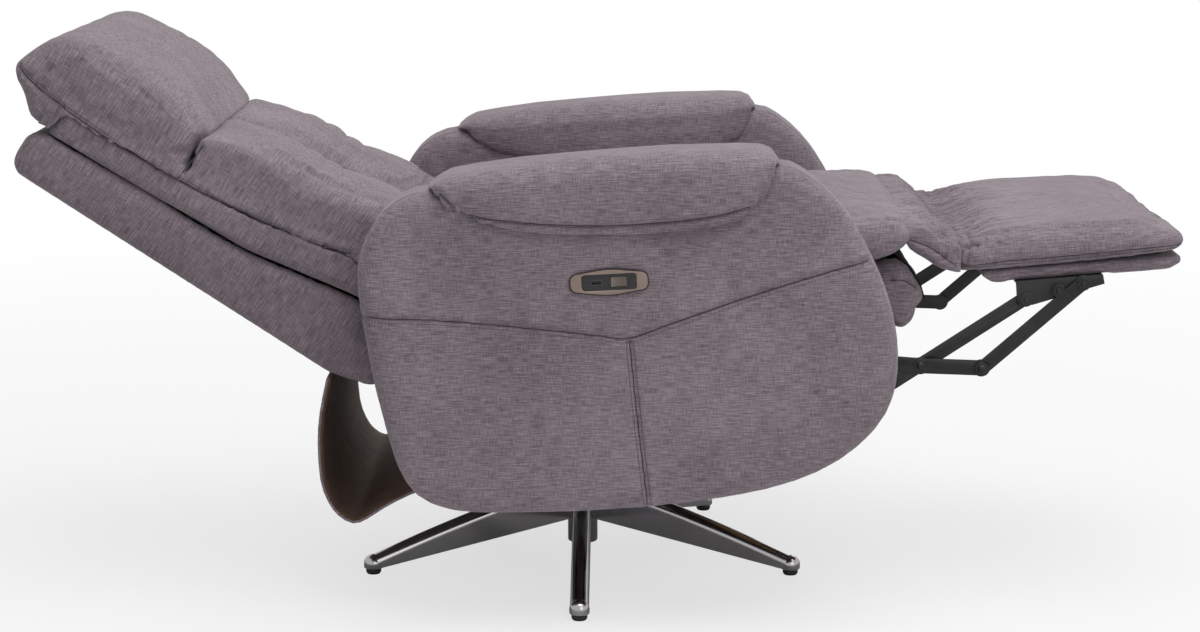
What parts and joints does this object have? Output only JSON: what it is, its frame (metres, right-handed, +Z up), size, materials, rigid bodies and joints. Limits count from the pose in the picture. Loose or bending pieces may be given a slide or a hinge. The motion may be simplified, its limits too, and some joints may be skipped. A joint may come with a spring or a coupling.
{
  "type": "star base swivel recliner",
  "caption": "Upholstered powered recliner on a chromed star base, reclined with its legrest raised on a folding linkage.",
  "frame": {"origin": "on the floor, on the swivel axis of the star base", "axes": "+X forward to the legrest, +Y to the sitter's left, +Z up"},
  "size_m": [1.6016, 0.782, 0.8213],
  "materials": {
    "chrome": "polished chrome plating",
    "zinc": "bright zinc plated steel",
    "black_steel": "black powder coat",
    "black_plastic": "gloss black moulding",
    "black_rubber": "black glide",
    "fabric": "heathered grey mauve woven cloth",
    "black_cloth": "black lining cloth",
    "wood": "raw plywood",
    "brown_board": "brown fibre board",
    "taupe_metal": "satin anodised taupe",
    "rocker": "satin bronze grey",
    "black_motor": "matt black housing"
  },
  "bodies": {
    "base": {"star_base": "chrome", "foot_glides": "black_rubber", "swivel_post": "zinc", "bearing_plate": "zinc", "thrust_ring": "black_plastic"},
    "carcass": {"swivel_plate": "zinc", "plate_bolts": "zinc", "cross_beams": "black_steel", "arm_frame_right": "wood", "arm_frame_left": "wood", "arm_cover_right": "fabric", "arm_cover_left": "fabric", "arm_pad_right": "fabric", "arm_pad_left": "fabric", "side_rail_right": "wood", "side_rail_left": "wood", "side_plate_right": "black_steel", "side_plate_left": "black_steel", "front_rail": "wood", "rear_rail": "wood", "seat_springs": "zinc", "seat_cushion": "fabric", "front_skirt": "fabric", "skirt_cloth": "black_cloth", "rear_apron_board": "brown_board", "rear_apron_cover": "fabric", "switch_bezel": "taupe_metal", "switch_insert": "black_plastic", "usb_socket": "zinc", "power_inlet": "black_plastic", "actuator_bracket": "black_steel", "legrest_flap": "fabric"},
    "back": {"back_shell": "fabric", "back_uprights": "wood", "back_rails": "wood", "back_springs": "zinc", "back_cushion": "fabric", "lumbar_cushion": "fabric", "head_cushion": "fabric", "back_bracket_right": "black_steel", "back_bracket_left": "black_steel"},
    "front_links": {"front_link_right": "black_steel", "front_link_left": "black_steel"},
    "lift_links": {"lift_link_right": "black_steel", "lift_link_left": "black_steel"},
    "upper_links": {"upper_link_right": "black_steel", "upper_link_left": "black_steel"},
    "rear_links": {"rear_link_right": "black_steel", "rear_link_left": "black_steel", "drive_tube": "black_steel"},
    "recline_links": {"recline_link_right": "black_steel", "recline_link_left": "black_steel"},
    "actuator": {"actuator_motor": "black_motor"},
    "rod": {"actuator_rod": "zinc"},
    "legrest": {"legrest_bracket_right": "black_steel", "legrest_bracket_left": "black_steel", "legrest_board": "fabric", "legrest_pad": "fabric"},
    "rocker": {"rocker_switch": "rocker"}
  },
  "joints": [
    {"name": "swivel", "type": "hinge", "parent": "base", "child": "carcass", "pos_m": [0, 0, 0.145], "axis": [0, 0, 1], "continuous": true},
    {"name": "back_recline", "type": "hinge", "parent": "carcass", "child": "back", "pos_m": [-0.235, 0, 0.415], "axis": [0, 1, 0], "range_deg": [0, 45], "deforming": ["rear_apron_board", "rear_apron_cover"]},
    {"name": "front_link_fold", "type": "hinge", "parent": "carcass", "child": "front_links", "pos_m": [0.341, 0, 0.351], "axis": [0, 1, 0], "range_deg": [0, 90.01]},
    {"name": "lift_link_fold", "type": "hinge", "parent": "front_links", "child": "lift_links", "pos_m": [0.46902, 0, 0.34115], "axis": [0, 1, 0], "range_deg": [-135.38, 0]},
    {"name": "upper_link_fold", "type": "hinge", "parent": "front_links", "child": "upper_links", "pos_m": [0.55297, 0, 0.33822], "axis": [0, 1, 0], "range_deg": [-121.25, 0]},
    {"name": "legrest_fold", "type": "hinge", "parent": "lift_links", "child": "legrest", "pos_m": [0.61103, 0, 0.43514], "axis": [0, 1, 0], "range_deg": [0, 139.38], "deforming": ["legrest_flap", "front_skirt", "skirt_cloth"]},
    {"name": "rear_link_fold", "type": "hinge", "parent": "carcass", "child": "rear_links", "pos_m": [0.2975, 0, 0.285], "axis": [0, 1, 0], "range_deg": [0, 90.01]},
    {"name": "recline_link_turn", "type": "hinge", "parent": "back", "child": "recline_links", "pos_m": [-0.19257, 0, 0.31257], "axis": [0, 1, 0], "range_deg": [-45.01, 0]},
    {"name": "actuator_tilt", "type": "hinge", "parent": "carcass", "child": "actuator", "pos_m": [-0.17, 0, 0.236], "axis": [0, 1, 0], "range_deg": [-3.46, 0]},
    {"name": "rod_slide", "type": "slide", "parent": "actuator", "child": "rod", "axis": [0.9995, 0, -0.0316], "range_m": [-0.1028, 0]},
    {"name": "rocker_press", "type": "hinge", "parent": "carcass", "child": "rocker", "pos_m": [0.05367, -0.373, 0.48268], "axis": [-0.0523, 0, 0.9986], "range_deg": [-8, 8], "stiffness_Nm_per_rad": 0.2}
  ],
  "couplings": [
    {"joint": "front_link_fold", "follows": "back_recline", "ratio": 2},
    {"joint": "lift_link_fold", "follows": "back_recline", "ratio": -3.0083},
    {"joint": "upper_link_fold", "follows": "back_recline", "ratio": -2.6942},
    {"joint": "legrest_fold", "follows": "back_recline", "ratio": 3.0972},
    {"joint": "rear_link_fold", "follows": "back_recline", "ratio": 2},
    {"joint": "recline_link_turn", "follows": "back_recline", "ratio": -1},
    {"joint": "actuator_tilt", "follows": "back_recline", "ratio": -0.07657},
    {"joint": "rod_slide", "follows": "back_recline", "m_per_rad": -0.13056}
  ]
}
